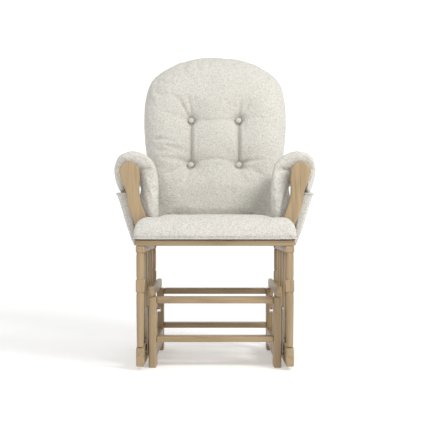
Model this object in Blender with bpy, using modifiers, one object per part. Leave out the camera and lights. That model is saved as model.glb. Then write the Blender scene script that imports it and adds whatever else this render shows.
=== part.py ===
"""Nursery glider chair: a fixed wooden base, a seat frame hung from it on steel links, and cushions.

Metres, +Z up. The origin is on the floor under the middle of the chair, and the sitter faces -Y.
The chair is symmetric about X = 0: side -1 is the sitter's right-hand side at -X, side +1 the one at +X.
"""

import math

import bmesh
import bpy
from mathutils import Matrix, Vector

# Overall places
GAP = 0.0003  # clearance between touching pieces
SHIFT_Y = -0.0522  # moves the design so that the middle of its length is at Y = 0
FRONT_Y = -0.290 + SHIFT_Y  # front faces of the legs and of the seat frame
REAR_Y = 0.270 + SHIFT_Y  # rear faces of the rear legs and of the lower side rails

# Base
BASE_IN, BASE_OUT = 0.181, 0.205  # X of the inner and outer faces of the side frames
POST_HIGH = 0.2177
POST_DEEP = 0.060  # along Y
FRONT_POST_Y = -0.235 + SHIFT_Y  # front face of the front post
REAR_POST_Y = 0.145 + SHIFT_Y  # front face of the rear post
BOTTOM_RAIL_Z = (0.028, 0.080)
TOP_RAIL_Z = (POST_HIGH + GAP, 0.2500)
TOP_RAIL_IN = 0.190
CROSS_LOW_Z = (0.0786, 0.0963)
CROSS_HIGH_Z = (0.198, POST_HIGH)
CROSS_DEEP = 0.050
CROSS_SET_IN = 0.004  # from the outer face of the posts

# Swing links and their pivots
LINK_X = 0.208  # inner face
LINK_THICK = 0.004
LINK_WIDE = 0.026
UPPER_PIVOT_Z = 0.176
LOWER_PIVOT_Z = 0.048
PIVOT_INSET = POST_DEEP / 2
FRONT_PIVOT_Y = FRONT_POST_Y + PIVOT_INSET
REAR_PIVOT_Y = REAR_POST_Y + PIVOT_INSET
PIN_RADIUS = 0.004
PIN_FIT = 0.0005  # radial clearance of a pin in its hole
BORE_PAST = 0.010  # how far a drill runs out past the faces
HEAD_RADIUS = 0.0065
HEAD_LONG = 0.012
LOW_HEAD_LONG = 0.0036
PIN_END = 0.0012  # from the end of a pin to the wood beyond the link

# Seat frame
RAIL_IN, RAIL_OUT = 0.215, 0.239  # X of the lower side rails
RAIL_Z = (0.012, 0.0708)
RAIL_NOSE = 0.010  # chamfer of the upper front corner
LEG_X = 0.2270
LEG_RADIUS = (0.0105, 0.0125)  # at the foot and under the square block
LEG_BLOCK = 0.0265  # side of the leg's square blocks
LEG_BLOCK_Z = (0.237, 0.275)
LEG_HEAD_Z = (0.357, 0.377)
LEG_TAPER_LONG = 0.080
LEG_INSET = LEG_BLOCK / 2 + 0.001
UNDER_RAIL_Z = (0.3565, 0.3765)
UNDER_RAIL_THICK = 0.018
SIDE_SLATS = 4  # on each side
SIDE_SLAT_WIDE = 0.030  # along Y
SIDE_SLAT_THICK = 0.012
SIDE_TENON = 0.008  # how far a slat goes into the rail above it
BOARD_Z = (0.3773, 0.3943)  # the flat seat frame
BOARD_HALF = 0.242
BOARD_WIDE = 0.056
SLAT_Y = (-0.160, -0.045, 0.070)
SLAT_WIDE = 0.052
SLAT_THICK = 0.012

# Arms
PADDLE_THICK = 0.022
PADDLE_Y = -0.262 + SHIFT_Y
ARM_RAIL_X = (0.240, 0.272)
ARM_RAIL_Z = (0.578, 0.604)
ARM_RAIL_PAST_BACK = 0.079  # how far the arm rail runs behind the foot of the back
ARM_PAD_Y = (-0.238 + SHIFT_Y, 0.138 + SHIFT_Y)
PAD_TOE_OUT = 0.023  # how much further out the inner face stands at the rear than at the front
PAD_INNER_X = (0.1785, 0.225)  # the part that toes out: all of it at the first X, none at the second
POCKET_Y = (-0.225 + SHIFT_Y, 0.075 + SHIFT_Y)
POCKET_Z = (0.378, 0.540)
POCKET_MOUTH = (0.2785, 0.3065)  # X of the inner and outer faces at the top
POCKET_FOOT = (0.2439, 0.2554)  # and at the bottom
POCKET_WALL = 0.003

# Back, in a frame that leans back about the rear of the seat: x across, z up the back, y through it
RECLINE = math.radians(13)
BACK_Y = 0.235 + SHIFT_Y
STILE_X = (0.206, 0.2395)
STILE_DEEP = 0.034
STILE_LONG = 0.560
CREST_HIGH = 0.640
CREST_HALF = 0.232
CREST_SHOULDER = 0.012  # height of the crest rail at its ends
CREST_SET_IN = 0.002
LOWER_BACK_Z = (0.060, 0.110)
LOWER_BACK_Y = (0.004, 0.030)
BACK_SLAT_X = (-0.115, 0.0, 0.115)
BACK_SLAT_WIDE = 0.045
BACK_SLAT_THICK = 0.014

# Soft goods
SEAT_CUSHION_Z = (0.3955, 0.4733)
SEAT_CUSHION_HALF = 0.249
SEAT_CUSHION_NECK = 0.1775
SEAT_CUSHION_Y = (-0.305 + SHIFT_Y, -0.2645 + SHIFT_Y, 0.130 + SHIFT_Y)
BACK_CUSHION_THICK = 0.100
BACK_CUSHION_CLEAR = 0.0005  # from the stiles
BUTTON_X = 0.086
BUTTON_Z = (0.2515, 0.419)
BUTTON_RADIUS = 0.0100
BUTTON_DEEP = 0.008
DIMPLE_RADIUS = 0.032
DIMPLE_DEPTH = 0.020
BUTTON_SUNK = 0.0022  # from the foot of the dimple to the back of the button

SIDES = (("left", 1), ("right", -1))
ENDS = (("front", FRONT_PIVOT_Y), ("rear", REAR_PIVOT_Y))


def clear_scene():
    for item in list(bpy.data.objects):
        bpy.data.objects.remove(item, do_unlink=True)


def new_collection(name):
    collection = bpy.data.collections.new(name)
    bpy.context.scene.collection.children.link(collection)
    return collection


def principled(name, colour, roughness, metallic=0.0):
    material = bpy.data.materials.new(name)
    material.use_nodes = True
    shader = material.node_tree.nodes["Principled BSDF"]
    shader.inputs["Base Color"].default_value = (*colour, 1.0)
    shader.inputs["Roughness"].default_value = roughness
    shader.inputs["Metallic"].default_value = metallic
    material.diffuse_color = (*colour, 1.0)
    return material


clear_scene()
parts = new_collection("glider_chair")
cutters = new_collection("cutters")
OAK = principled("oiled_oak", (0.43, 0.29, 0.16), 0.45)
STEEL = principled("zinc_steel", (0.55, 0.56, 0.57), 0.35, 1.0)
CHROME = principled("chrome", (0.80, 0.81, 0.82), 0.12, 1.0)
FABRIC = principled("boucle_fabric", (0.68, 0.65, 0.58), 0.95)


def own_finish(material, name):
    copy = material.copy()
    copy.name = name + "_finish"
    return copy


def place(name, mesh, material, location=(0, 0, 0), parent=None):
    """A part's object, in the chair's collection and with a finish of its own."""
    part = bpy.data.objects.new(name, mesh)
    mesh.name = name
    mesh.materials.clear()
    mesh.materials.append(own_finish(material, name))
    part.location = location
    part.parent = parent
    parts.objects.link(part)
    return part


def guide(name, mesh, parent=None):
    """A cutter, or a shape to be joined on: left out of the model itself."""
    helper = bpy.data.objects.new(name, mesh)
    helper.parent = parent
    helper.hide_render = True
    helper.display_type = "WIRE"
    cutters.objects.link(helper)
    return helper


def box_mesh(low, high):
    """A box between two corners, whose X values may come in either order."""
    mesh = bpy.data.meshes.new("box")
    made = bmesh.new()
    bmesh.ops.create_cube(made, size=1.0)
    low, high = Vector(map(min, low, high)), Vector(map(max, low, high))
    bmesh.ops.scale(made, vec=high - low, verts=made.verts)
    bmesh.ops.translate(made, vec=(low + high) / 2, verts=made.verts)
    made.to_mesh(mesh)
    made.free()
    return mesh


def add_bevel(part, width, segments=1):
    bevel = part.modifiers.new("edges", "BEVEL")
    bevel.width = width
    bevel.segments = segments
    bevel.limit_method = "ANGLE"
    bevel.angle_limit = math.radians(50)


def add_boolean(part, other, operation="DIFFERENCE"):
    boolean = part.modifiers.new(operation.lower(), "BOOLEAN")
    boolean.object = other
    boolean.operation = operation
    boolean.solver = "EXACT"


def board(name, low, high, material=OAK, edge=0.002, parent=None):
    part = place(name, box_mesh(low, high), material, parent=parent)
    add_bevel(part, edge)
    return part


def cylinder_mesh(radius, start, end, side=1, segments=20):
    """A cylinder along X, from X = start to X = end on one side of the chair."""
    mesh = bpy.data.meshes.new("cylinder")
    made = bmesh.new()
    bmesh.ops.create_cone(
        made, cap_ends=True, segments=segments, radius1=radius, radius2=radius, depth=abs(end - start)
    )
    bmesh.ops.rotate(made, matrix=Matrix.Rotation(math.pi / 2, 3, "Y"), verts=made.verts)
    bmesh.ops.translate(made, vec=((start + end) / 2 * side, 0, 0), verts=made.verts)
    made.to_mesh(mesh)
    made.free()
    return mesh


def drill(part, name, start, end, side, pivot_y, pivot_z):
    """A hole for a pin, along X through a part."""
    bore = guide(name, cylinder_mesh(PIN_RADIUS + PIN_FIT, start - BORE_PAST, end + BORE_PAST, side))
    bore.location = (0, pivot_y, pivot_z)
    add_boolean(part, bore)


def outline_mesh(points, low, high, plane="XZ"):
    """An outline in the XZ or XY plane, given thickness from low to high along the third axis."""
    curve = bpy.data.curves.new("outline", "CURVE")
    curve.dimensions = "2D"
    curve.fill_mode = "BOTH"
    curve.extrude = (high - low) / 2
    spline = curve.splines.new("POLY")
    spline.points.add(len(points) - 1)
    for point, (across, along) in zip(spline.points, points):
        point.co = (across, along, 0, 1)
    spline.use_cyclic_u = True
    holder = bpy.data.objects.new("outline", curve)
    bpy.context.scene.collection.objects.link(holder)
    bpy.context.view_layer.update()
    mesh = bpy.data.meshes.new_from_object(holder.evaluated_get(bpy.context.evaluated_depsgraph_get()))
    bpy.data.objects.remove(holder, do_unlink=True)
    made = bmesh.new()
    made.from_mesh(mesh)
    bmesh.ops.remove_doubles(made, verts=made.verts, dist=0.00001)
    for vertex in made.verts:
        across, along, out = vertex.co
        middle = (low + high) / 2
        vertex.co = (across, middle - out, along) if plane == "XZ" else (across, along, middle + out)
    bmesh.ops.recalc_face_normals(made, faces=made.faces)
    bmesh.ops.dissolve_limit(made, angle_limit=0.01, verts=made.verts, edges=made.edges)
    made.to_mesh(mesh)
    made.free()
    return mesh


def arc(centre, radius, start, end, steps):
    """Points on an arc, from the angle start to the angle end in degrees."""
    angles = (math.radians(start + (end - start) * step / steps) for step in range(steps + 1))
    return [(centre[0] + radius * math.cos(a), centre[1] + radius * math.sin(a)) for a in angles]


def smooth_outline(points, steps=4):
    """A rounded line through a few hand-placed points, by Catmull-Rom interpolation."""
    ends = [points[0], *points, points[-1]]
    line = []
    for before, here, there, after in zip(ends, ends[1:], ends[2:], ends[3:]):
        for step in range(steps):
            t = step / steps
            square, cube = t**2, t**3
            inner_pulls = 2 - 5 * square + 3 * cube, t + 4 * square - 3 * cube
            pulls = Vector((2 * square - t - cube, *inner_pulls, cube - square))
            line.append(tuple(pulls.dot(Vector(four)) / 2 for four in zip(before, here, there, after)))
    return line + [points[-1]]


def mirrored(points, side):
    """The outline on either side of the chair, kept running the same way round."""
    return points if side > 0 else [(-across, along) for across, along in reversed(points)]


def turned(name, profile, material, steps=20):
    """A solid of revolution. The profile runs down its outer side as (radius, height)."""
    mesh = bpy.data.meshes.new(name)
    points = [(radius, 0, height) for radius, height in profile]
    mesh.from_pydata(points, [(i, i + 1) for i in range(len(points) - 1)], [])
    part = place(name, mesh, material)
    screw = part.modifiers.new("turned", "SCREW")
    screw.steps = screw.render_steps = steps
    screw.use_merge_vertices = True
    screw.merge_threshold = 0.00001
    screw.use_smooth_shade = True
    return part


# Base: two side frames joined by four cross rails


def base_side(label, side):
    for end, front in (("front", FRONT_POST_Y), ("rear", REAR_POST_Y)):
        post = board(
            f"base_{end}_post_{label}",
            (side * BASE_IN, front, 0),
            (side * BASE_OUT, front + POST_DEEP, POST_HIGH),
            edge=0.003,
        )
        hole = f"bore_{end}_post_{label}"
        drill(post, hole, BASE_IN, BASE_OUT, side, front + PIVOT_INSET, UPPER_PIVOT_Z)
    board(
        f"base_bottom_rail_{label}",
        (side * (BASE_IN + GAP), FRONT_POST_Y + POST_DEEP + GAP, BOTTOM_RAIL_Z[0]),
        (side * (BASE_OUT - GAP), REAR_POST_Y - GAP, BOTTOM_RAIL_Z[1]),
    )
    board(
        f"base_top_rail_{label}",
        (side * TOP_RAIL_IN, FRONT_POST_Y, TOP_RAIL_Z[0]),
        (side * BASE_OUT, REAR_POST_Y + POST_DEEP, TOP_RAIL_Z[1]),
        edge=0.003,
    )


def base_cross_rails():
    reach = BASE_IN - GAP
    fronts = (FRONT_POST_Y + CROSS_SET_IN, REAR_POST_Y + POST_DEEP - CROSS_DEEP - CROSS_SET_IN)
    for height, (low, high) in (("low", CROSS_LOW_Z), ("high", CROSS_HIGH_Z)):
        for end, front in zip(("front", "rear"), fronts):
            name = f"base_cross_rail_{end}_{height}"
            board(name, (-reach, front, low), (reach, front + CROSS_DEEP, high))


# Links: a flat steel strap on a pin at each end, in the gap between the base and the seat frame


def link(label, side, end, pivot_y):
    half = LINK_WIDE / 2
    drop = LOWER_PIVOT_Z - UPPER_PIVOT_Z
    strap = arc((0, 0), half, 0, 180, 10) + arc((0, drop), half, 180, 360, 10)
    mesh = outline_mesh(strap, 0, LINK_THICK)
    made = bmesh.new()
    made.from_mesh(mesh)
    for vertex in made.verts:
        across, out, along = vertex.co
        vertex.co = (side * (LINK_X + out), across, along)
    bmesh.ops.recalc_face_normals(made, faces=made.faces)
    made.to_mesh(mesh)
    made.free()
    name = f"link_{end}_{label}"
    part = place(name, mesh, STEEL, (0, pivot_y, UPPER_PIVOT_Z))
    for eye, height in (("upper", 0), ("lower", drop)):
        hole = f"bore_{eye}_{name}"
        drill(part, hole, LINK_X, LINK_X + LINK_THICK, side, pivot_y, UPPER_PIVOT_Z + height)


def pin(name, profile, side, pivot_y, pivot_z):
    """A domed bolt, turned about Z with its outer end up, and then laid along X."""
    part = turned(name, profile, CHROME, steps=16)
    part.rotation_euler = (0, side * math.radians(90), 0)
    part.location = (0, pivot_y, pivot_z)


def pivots(label, side, end, pivot_y):
    inner, outer = BASE_IN - GAP, RAIL_IN - PIN_END
    dome, tip = HEAD_RADIUS * 0.6, inner - HEAD_LONG
    upper = [(0, outer), (PIN_RADIUS, outer), (PIN_RADIUS, inner), (HEAD_RADIUS, inner)]
    upper += [(HEAD_RADIUS, tip + 0.004), (dome, tip + 0.001), (0, tip)]
    pin(f"upper_pin_{end}_{label}", upper, side, pivot_y, UPPER_PIVOT_Z)
    inner, outer = BASE_OUT + PIN_END, RAIL_OUT + GAP
    tip = outer + LOW_HEAD_LONG
    lower = [(0, tip), (dome, tip - 0.0006), (HEAD_RADIUS, tip - 0.0026), (HEAD_RADIUS, outer)]
    lower += [(PIN_RADIUS, outer), (PIN_RADIUS, inner), (0, inner)]
    pin(f"lower_pin_{end}_{label}", lower, side, pivot_y, LOWER_PIVOT_Z)


# Seat frame: lower side rails, turned legs, and a flat frame of boards with slats


def lower_side_rail(label, side):
    bottom, top = RAIL_Z
    nose = [(FRONT_Y, bottom), (REAR_Y, bottom), (REAR_Y, top)]
    nose += [(FRONT_Y + RAIL_NOSE, top), (FRONT_Y, top - RAIL_NOSE)]
    mesh = outline_mesh(nose, RAIL_IN, RAIL_OUT)
    made = bmesh.new()
    made.from_mesh(mesh)
    for vertex in made.verts:
        along, out, height = vertex.co
        vertex.co = (side * out, along, height)
    bmesh.ops.recalc_face_normals(made, faces=made.faces)
    made.to_mesh(mesh)
    made.free()
    part = place(f"lower_side_rail_{label}", mesh, OAK)
    add_bevel(part, 0.003)
    for end, pivot_y in ENDS:
        drill(part, f"bore_{end}_rail_{label}", RAIL_IN, RAIL_OUT, side, pivot_y, LOWER_PIVOT_Z)


def leg(label, side, end, centre_y):
    """A turned leg with a square block in the middle and another under the seat."""
    foot, waist = LEG_RADIUS
    low, block, head = RAIL_Z[1] + GAP, LEG_BLOCK_Z, LEG_HEAD_Z
    middle = sum(head) / 2
    profile = [(0, middle), (waist, middle), (waist, low + LEG_TAPER_LONG), (foot, low), (0, low)]
    name = f"{end}_leg_{label}"
    part = turned(name, profile, OAK)
    part.location = (side * LEG_X, centre_y, 0)
    half = LEG_BLOCK / 2
    for place_name, (bottom, top) in (("block", block), ("head", head)):
        mesh = box_mesh((-half, -half, bottom), (half, half, top))
        square = guide(f"{place_name}_{name}", mesh)
        square.location = part.location
        add_bevel(square, 0.003)
        add_boolean(part, square, "UNION")


def under_rail(label, side, front_leg_y, rear_leg_y):
    """The rail under the seat, with upright slats let into it that stand on the lower side rail."""
    half = UNDER_RAIL_THICK / 2
    clear = LEG_BLOCK / 2 + GAP
    rail = board(
        f"seat_side_rail_{label}",
        (side * LEG_X - half, front_leg_y + clear, UNDER_RAIL_Z[0]),
        (side * LEG_X + half, rear_leg_y - clear, UNDER_RAIL_Z[1]),
    )
    half, wide = SIDE_SLAT_THICK / 2, SIDE_SLAT_WIDE / 2
    for number in range(1, SIDE_SLATS + 1):
        middle = front_leg_y + (rear_leg_y - front_leg_y) * number / (SIDE_SLATS + 1)
        low = (side * LEG_X - half, middle - wide, RAIL_Z[1] + GAP)
        high = (side * LEG_X + half, middle + wide, UNDER_RAIL_Z[0] + SIDE_TENON)
        slat = guide(f"side_slat_{number}_{label}", box_mesh(low, high))
        add_bevel(slat, 0.002)
        add_boolean(rail, slat, "UNION")


def seat_boards():
    low, high = BOARD_Z
    inner = BOARD_HALF - BOARD_WIDE
    for end, front in (("front", FRONT_Y), ("back", REAR_Y - BOARD_WIDE)):
        corners = (-BOARD_HALF, front, low), (BOARD_HALF, front + BOARD_WIDE, high)
        board(f"seat_{end}_rail", *corners, edge=0.003)
    for label, side in SIDES:
        board(
            f"seat_side_board_{label}",
            (side * inner, FRONT_Y + BOARD_WIDE + GAP, low),
            (side * BOARD_HALF, REAR_Y - BOARD_WIDE - GAP, high),
        )
    for number, middle in enumerate(SLAT_Y, start=1):
        board(
            f"seat_slat_{number}",
            (GAP - inner, middle + SHIFT_Y - SLAT_WIDE / 2, high - SLAT_THICK),
            (inner - GAP, middle + SHIFT_Y + SLAT_WIDE / 2, high),
        )


# Arms: a flat shaped board at the front, a rail back to the stile, a padded cover and a hanging pocket


def arm(label, side):
    foot = BOARD_Z[1] + GAP
    outer = [(0.2355, 0.412), (0.2466, 0.446), (0.2662, 0.495), (0.2723, 0.538), (0.2876, 0.581)]
    outer += [(0.2944, 0.605)]
    inner = [(0.2326, 0.605), (0.2307, 0.581), (0.2325, 0.553), (0.2283, 0.5165), (0.2102, 0.4645)]
    inner += [(0.1985, 0.412)]
    (start, height), (end, _) = outer[-1], inner[0]
    crown = arc(((start + end) / 2, height), (start - end) / 2, 0, 180, 10)[1:-1]
    outline = [(0.232, foot), *smooth_outline(outer), *crown, *smooth_outline(inner), (0.197, foot)]
    mesh = outline_mesh(mirrored(outline, side), PADDLE_Y, PADDLE_Y + PADDLE_THICK)
    add_bevel(place(f"arm_front_board_{label}", mesh, OAK), 0.003, 2)
    board(
        f"arm_rail_{label}",
        (side * ARM_RAIL_X[0], PADDLE_Y + PADDLE_THICK + GAP, ARM_RAIL_Z[0]),
        (side * ARM_RAIL_X[1], BACK_Y + ARM_RAIL_PAST_BACK, ARM_RAIL_Z[1]),
        edge=0.004,
    )


def arm_pad(label, side):
    """An inverted U over the arm rail: a thin outer flap, a rolled top and a thick inner flap."""
    over = [(0.2985, 0.5545), (0.3070, 0.580), (0.3136, 0.620), (0.2990, 0.652), (0.2546, 0.6667)]
    over += [(0.1990, 0.648), (0.1816, 0.611), (0.1785, 0.549), (0.1785, 0.425)]
    under = [(0.1950, 0.425), (0.2240, 0.500), (0.2360, 0.560), (0.2370, 0.610), (0.2760, 0.610)]
    under += [(0.2790, 0.578), (0.2815, 0.5545)]
    outline = smooth_outline(over, 3) + under
    front, rear = ARM_PAD_Y
    mesh = outline_mesh(mirrored(outline, side), front, rear)
    moving, fixed = PAD_INNER_X
    for vertex in mesh.vertices:
        share = min(1, max(0, (fixed - abs(vertex.co.x)) / (fixed - moving)))
        vertex.co.x += side * PAD_TOE_OUT * share * (vertex.co.y - front) / (rear - front)
    add_bevel(place(f"arm_pad_{label}", mesh, FABRIC), 0.004)


def side_pocket(label, side):
    """A cloth pocket outside the arm, open at its top and drawn in towards its foot."""
    (foot_in, foot_out), (mouth_in, mouth_out) = POCKET_FOOT, POCKET_MOUTH
    bottom, top = POCKET_Z
    low_y, high_y = POCKET_Y
    wall = POCKET_WALL
    bag = [(foot_in, bottom), (foot_out, bottom), (mouth_out, top), (mouth_in, top)]
    pocket = place(f"side_pocket_{label}", outline_mesh(mirrored(bag, side), low_y, high_y), FABRIC)
    inside = [(foot_in + wall, bottom + wall), (foot_out - wall, bottom + wall)]
    inside += [(mouth_out - wall, top), (mouth_out - wall, top + wall), (mouth_in + wall, top + wall)]
    inside += [(mouth_in + wall, top)]
    mesh = outline_mesh(mirrored(inside, side), low_y + wall, high_y - wall)
    add_boolean(pocket, guide(f"hollow_{label}", mesh))


# Back: two stiles, an arched crest, a lower rail and three slats, all in a frame that leans back


def back_frame():
    lean = bpy.data.objects.new("back_lean", None)
    lean.location = (0, BACK_Y, BOARD_Z[1] + GAP)
    lean.rotation_euler = (-RECLINE, 0, 0)
    parts.objects.link(lean)
    return lean


def back_woodwork(lean):
    for label, side in SIDES:
        # The foot of a stile is cut level, where it stands on the seat's back rail.
        stile = board(
            f"back_stile_{label}",
            (side * STILE_X[0], 0, -0.02),
            (side * (STILE_X[1] - GAP), STILE_DEEP, STILE_LONG),
            edge=0.003,
            parent=lean,
        )
        low, high = (side * BASE_IN, BACK_Y - 0.1, 0), (side * BOARD_HALF, BACK_Y + 0.1, BOARD_Z[1] + GAP)
        add_boolean(stile, guide(f"level_{label}", box_mesh(low, high)))
    foot, shoulder = STILE_LONG + GAP, STILE_LONG + CREST_SHOULDER
    crest = [(-CREST_HALF, foot), (CREST_HALF, foot)]
    for across, up in arc((0, 0), 1, 0, 180, 16):
        crest.append((CREST_HALF * across, shoulder + (CREST_HIGH - shoulder) * up))
    mesh = outline_mesh(crest, CREST_SET_IN, STILE_DEEP - CREST_SET_IN)
    add_bevel(place("back_crest_rail", mesh, OAK, parent=lean), 0.003)
    reach = STILE_X[0] - GAP
    (low, high), (front, rear) = LOWER_BACK_Z, LOWER_BACK_Y
    board("back_lower_rail", (-reach, front, low), (reach, rear, high), parent=lean)
    for number, middle in enumerate(BACK_SLAT_X, start=1):
        half = BACK_SLAT_WIDE / 2
        front = (STILE_DEEP - BACK_SLAT_THICK) / 2
        board(
            f"back_slat_{number}",
            (middle - half, front, LOWER_BACK_Z[1] + GAP),
            (middle + half, front + BACK_SLAT_THICK, STILE_LONG),
            parent=lean,
        )


# Cushions


def seat_cushion():
    front, neck, rear = SEAT_CUSHION_Y
    wide, narrow = SEAT_CUSHION_HALF, SEAT_CUSHION_NECK
    outline = [(-wide, front), (wide, front), (wide, neck), (narrow, neck), (narrow, rear)]
    outline += [(-narrow, rear), (-narrow, neck), (-wide, neck)]
    mesh = outline_mesh(outline, *SEAT_CUSHION_Z, plane="XY")
    add_bevel(place("seat_cushion", mesh, FABRIC), 0.014, 2)


def back_cushion(lean):
    """An arched pad with four dimples, each with a covered button at its foot."""
    half = [(0.226, 0.012), (0.232, 0.120), (0.236, 0.235), (0.2515, 0.318), (0.260, 0.419), (0.253, 0.509)]
    half += [(0.2245, 0.5795), (0.149, 0.639), (0.0, 0.674)]
    outline = smooth_outline(half + [(-across, along) for across, along in reversed(half[:-1])], 3)
    mesh = outline_mesh(outline, -BACK_CUSHION_THICK, -BACK_CUSHION_CLEAR)
    pad = place("back_cushion", mesh, FABRIC, parent=lean)
    add_bevel(pad, 0.018, 2)
    front = -BACK_CUSHION_THICK
    ball = (DIMPLE_RADIUS**2 + DIMPLE_DEPTH**2) / (2 * DIMPLE_DEPTH)
    for row, height in zip(("lower", "upper"), BUTTON_Z):
        for label, side in SIDES:
            mesh = bpy.data.meshes.new("dimple")
            made = bmesh.new()
            bmesh.ops.create_uvsphere(made, u_segments=20, v_segments=12, radius=ball)
            made.to_mesh(mesh)
            made.free()
            dimple = guide(f"dimple_{row}_{label}", mesh, parent=lean)
            dimple.location = (side * BUTTON_X, front + DIMPLE_DEPTH - ball, height)
            add_boolean(pad, dimple)
            profile = [
                (0, BUTTON_DEEP),
                (BUTTON_RADIUS * 0.6, BUTTON_DEEP * 0.85),
                (BUTTON_RADIUS * 0.95, BUTTON_DEEP * 0.45),
                (BUTTON_RADIUS * 0.85, 0.0005),
                (0, 0),
            ]
            button = turned(f"button_{row}_{label}", profile, FABRIC, steps=16)
            button.parent = lean
            button.location = (side * BUTTON_X, front + DIMPLE_DEPTH - BUTTON_SUNK, height)
            button.rotation_euler = (math.radians(90), 0, 0)


def build():
    front_leg_y = FRONT_Y + LEG_INSET
    rear_leg_y = REAR_Y - LEG_INSET
    for label, side in SIDES:
        base_side(label, side)
        lower_side_rail(label, side)
        for end, pivot_y in ENDS:
            link(label, side, end, pivot_y)
            pivots(label, side, end, pivot_y)
        leg(label, side, "front", front_leg_y)
        leg(label, side, "rear", rear_leg_y)
        under_rail(label, side, front_leg_y, rear_leg_y)
        arm(label, side)
        arm_pad(label, side)
        side_pocket(label, side)
    base_cross_rails()
    seat_boards()
    lean = back_frame()
    back_woodwork(lean)
    seat_cushion()
    back_cushion(lean)


build()
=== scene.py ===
"""Nursery glider chair: oak frame swinging on steel links, boucle cushions, in a plain pale studio."""

import math

import bmesh
import bpy
import numpy as np
from mathutils import Matrix, Vector, noise


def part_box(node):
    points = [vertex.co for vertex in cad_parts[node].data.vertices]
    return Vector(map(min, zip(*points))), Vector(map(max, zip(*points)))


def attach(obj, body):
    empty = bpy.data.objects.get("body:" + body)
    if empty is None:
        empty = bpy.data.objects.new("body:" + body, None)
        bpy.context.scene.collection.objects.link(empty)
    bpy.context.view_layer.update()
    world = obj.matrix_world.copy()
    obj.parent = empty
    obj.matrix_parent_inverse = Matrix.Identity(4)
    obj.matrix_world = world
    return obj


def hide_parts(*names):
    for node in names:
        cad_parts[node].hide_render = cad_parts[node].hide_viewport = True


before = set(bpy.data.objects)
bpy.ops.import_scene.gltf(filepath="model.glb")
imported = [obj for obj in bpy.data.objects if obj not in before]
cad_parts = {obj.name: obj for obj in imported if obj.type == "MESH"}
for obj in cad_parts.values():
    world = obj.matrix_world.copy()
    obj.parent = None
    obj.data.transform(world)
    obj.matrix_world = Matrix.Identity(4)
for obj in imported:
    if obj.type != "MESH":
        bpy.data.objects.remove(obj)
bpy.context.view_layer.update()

# ---------------------------------------------------------------------------
# Studio: the camera, a pale floor that curves up behind, one soft key light high on the right and a
# bright even surround. The faint shadow falls to the left. The paper glows a little, as if lit from behind.

EYE = Vector((0.0, -3.032, 0.440))
LENS, FRAME_WIDE, LOOK_UP = 74.4, 36.0, 0.66

camera = bpy.data.objects.new("camera", bpy.data.cameras.new("camera"))
camera.data.lens, camera.data.sensor_width = LENS, FRAME_WIDE
camera.location = EYE
camera.rotation_euler = (math.radians(90 + LOOK_UP), 0, 0)
bpy.context.scene.collection.objects.link(camera)
bpy.context.scene.camera = camera


def studio_light(name, place, aim, size, power, colour):
    lamp = bpy.data.lights.new(name, "AREA")
    lamp.shape, lamp.size, lamp.energy, lamp.color = "DISK", size, power, colour
    light = bpy.data.objects.new(name, lamp)
    light.location = place
    light.rotation_euler = (Vector(aim) - Vector(place)).to_track_quat("-Z", "Y").to_euler()
    bpy.context.scene.collection.objects.link(light)


studio_light("key", (2.1, -2.1, 2.75), (0, 0, 0.45), 1.3, 75, (1.0, 0.99, 0.97))
studio_light("fill", (-1.0, -2.8, 2.9), (0, 0, 0.5), 2.4, 24, (0.98, 0.99, 1.0))

world = bpy.data.worlds.new("surround")
bpy.context.scene.world = world
world.use_nodes = True
world.node_tree.nodes["Background"].inputs["Color"].default_value = (1, 1, 1, 1)
world.node_tree.nodes["Background"].inputs["Strength"].default_value = 0.62
bpy.context.scene.view_settings.view_transform = "Standard"


class Thread:
    """One value inside a finish. Arithmetic on it adds Math nodes, and node() adds any other kind."""

    def __init__(self, tree, socket):
        self.tree, self.socket = tree, socket

    def node(self, kind, settings=None, sockets=None, out=0):
        made = self.tree.nodes.new("ShaderNode" + kind)
        for key, value in (settings or {}).items():
            if key == "stops":
                while len(made.color_ramp.elements) < len(value):
                    made.color_ramp.elements.new(0.5)
                for stop, (at, shade) in zip(made.color_ramp.elements, value):
                    stop.position, stop.color = at, (*shade, 1.0)
            else:
                setattr(made, key, value)
        for key, value in (sockets or {}).items():
            if isinstance(value, Thread):
                self.tree.links.new(value.socket, made.inputs[key])
            else:
                made.inputs[key].default_value = value
        return Thread(self.tree, made.outputs[out])

    def sum_of(self, operation, first, second):
        return self.node("Math", {"operation": operation}, {0: first, 1: second})

    def __add__(self, other):
        return self.sum_of("ADD", self, other)

    def __sub__(self, other):
        return self.sum_of("SUBTRACT", self, other)

    def __rsub__(self, other):
        return self.sum_of("SUBTRACT", other, self)

    def __mul__(self, other):
        return self.sum_of("MULTIPLY", self, other)

    __radd__, __rmul__ = __add__, __mul__

    def noise(self, scale, detail=2.0, roughness=0.5, stretch=(1, 1, 1)):
        at = self.node("Mapping", {}, {"Vector": self, "Scale": stretch})
        sockets = {"Vector": at, "Scale": scale, "Detail": detail, "Roughness": roughness}
        return self.node("TexNoise", {}, sockets)

    def blend(self, low, high):
        """A colour between low and high, by this value."""
        sides = {6: (*low, 1.0) if isinstance(low, tuple) else low}
        sides[7] = (*high, 1.0) if isinstance(high, tuple) else high
        return self.node("Mix", {"data_type": "RGBA", "clamp_factor": True}, {0: self, **sides}, out=2)

    def between(self, low, high):
        """This value spread so that low becomes 0 and high becomes 1."""
        return self.node("MapRange", {"clamp": True}, {"Value": self, "From Min": low, "From Max": high})


def finish(name):
    """A new finish: its material, its shader and the place on the piece that its pattern is read at."""
    material = bpy.data.materials.new(name)
    material.use_nodes = True
    tree = material.node_tree
    place = Thread(tree, tree.nodes.new("ShaderNodeTexCoord").outputs["Object"])
    return material, tree.nodes["Principled BSDF"], place


def wire(shader, **sockets):
    """Sets the shader's sockets, named with _ for a space, to numbers or to threads."""
    for key, value in sockets.items():
        socket = shader.inputs[key.replace("_", " ")]
        if isinstance(value, Thread):
            value.tree.links.new(value.socket, socket)
        else:
            socket.default_value = value


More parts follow.
